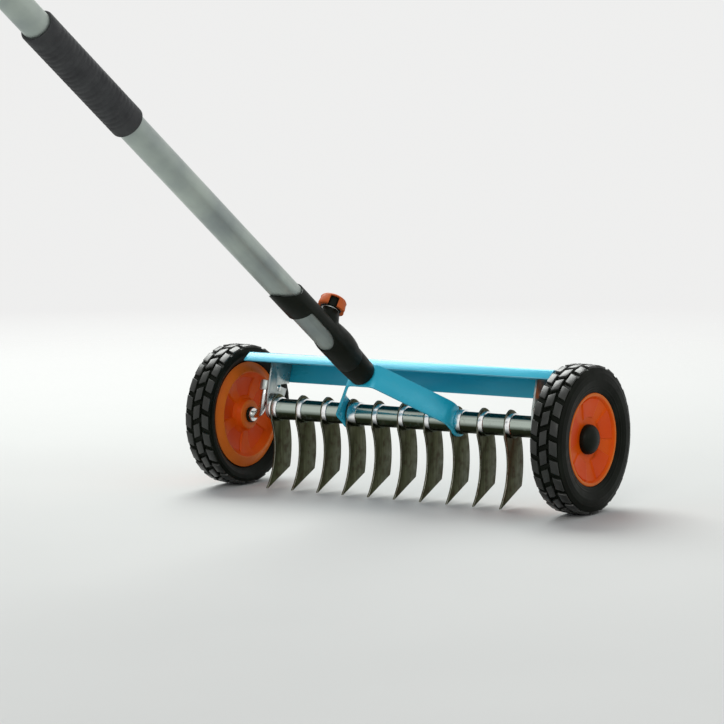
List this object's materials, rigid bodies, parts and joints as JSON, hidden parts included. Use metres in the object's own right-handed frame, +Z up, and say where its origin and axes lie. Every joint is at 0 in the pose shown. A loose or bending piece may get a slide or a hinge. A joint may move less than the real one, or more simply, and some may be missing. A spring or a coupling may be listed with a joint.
{
  "type": "wheeled lawn scarifier",
  "caption": "Two-wheeled hand lawn scarifier: a row of bowed knives under a folded channel, pulled by a long pole with hand grips on a forked yoke.",
  "frame": {"origin": "middle of the bounding box's bottom face, on the ground", "axes": "+X along the knife tube to the wheel nearer the camera, -Y towards the user, +Z up"},
  "size_m": [0.4584, 1.2484, 0.9333],
  "materials": {
    "tyre_rubber": "matt moulded",
    "orange_plastic": "satin moulded",
    "knob_orange": "matt moulded",
    "black_plastic": "fine grain",
    "grip_rubber": "matt",
    "blue_paint": "gloss powder coat",
    "zinc": "zinc plated",
    "bright_steel": "bright plated",
    "knife_steel": "rolled, dull",
    "pole_aluminium": "brushed, clear coated"
  },
  "bodies": {
    "frame": {"channel": "blue_paint", "side_plate_right": "zinc", "axle_rod_right": "bright_steel", "axle_clamp_right": "zinc", "clamp_rivet_right": "bright_steel", "channel_rivet_right_front": "bright_steel", "channel_rivet_right_rear": "bright_steel", "axle_ring_right": "bright_steel", "side_plate_left": "zinc", "axle_rod_left": "bright_steel", "axle_clamp_left": "zinc", "clamp_rivet_left": "bright_steel", "channel_rivet_left_front": "bright_steel", "channel_rivet_left_rear": "bright_steel", "axle_ring_left": "bright_steel", "blade_shaft": "zinc", "shaft_ring_right": "bright_steel", "shaft_ring_left": "bright_steel", "end_collar": "bright_steel", "knife_1": "knife_steel", "knife_2": "knife_steel", "knife_3": "knife_steel", "knife_4": "knife_steel", "knife_5": "knife_steel", "knife_6": "knife_steel", "knife_7": "knife_steel", "knife_8": "knife_steel", "knife_9": "knife_steel", "knife_10": "knife_steel", "spacer_1": "bright_steel", "spacer_2": "bright_steel", "spacer_3": "bright_steel", "spacer_4": "bright_steel", "spacer_5": "bright_steel", "spacer_6": "bright_steel", "spacer_7": "bright_steel", "spacer_8": "bright_steel", "spacer_9": "bright_steel", "spacer_10": "bright_steel"},
    "wheel_right": {"tyre_right": "tyre_rubber", "rim_right": "orange_plastic", "hub_cap_right": "black_plastic", "wheel_bush_right": "black_plastic"},
    "wheel_left": {"tyre_left": "tyre_rubber", "rim_left": "orange_plastic", "hub_cap_left": "black_plastic", "wheel_bush_left": "black_plastic"},
    "yoke_body": {"yoke": "blue_paint", "tool_socket": "black_plastic", "socket_bolt": "bright_steel"},
    "handle": {"handle_sleeve": "black_plastic", "pole": "pole_aluminium", "mid_grip": "grip_rubber", "end_grip": "grip_rubber", "pole_end_cap": "black_plastic"},
    "washer": {"knob_washer": "zinc"},
    "lock": {"lock_knob": "knob_orange", "knob_core": "black_plastic", "lock_screw": "bright_steel"}
  },
  "joints": [
    {"name": "wheel_right_spin", "type": "hinge", "parent": "frame", "child": "wheel_right", "pos_m": [0.211, 0.54924, 0.075], "axis": [1, 0, 0], "continuous": true},
    {"name": "wheel_left_spin", "type": "hinge", "parent": "frame", "child": "wheel_left", "pos_m": [-0.211, 0.54924, 0.075], "axis": [1, 0, 0], "continuous": true},
    {"name": "yoke_pivot", "type": "hinge", "parent": "frame", "child": "yoke_body", "pos_m": [0.00275, 0.54629, 0.08373], "axis": [-1, 0, 0], "range_deg": [-38, 22]},
    {"name": "handle_pull", "type": "slide", "parent": "yoke_body", "child": "handle", "axis": [0, -0.8111, 0.585], "range_m": [0, 0.1]},
    {"name": "knob_travel", "type": "slide", "parent": "handle", "child": "washer", "axis": [0, 0.585, 0.8111], "range_m": [0, 0.0023]},
    {"name": "knob_turn", "type": "hinge", "parent": "washer", "child": "lock", "pos_m": [0.00275, 0.40346, 0.18674], "axis": [0, 0.585, 0.8111], "range_deg": [0, 540]}
  ],
  "couplings": [
    {"joint": "knob_travel", "follows": "knob_turn", "m_per_rad": 0.000239}
  ]
}
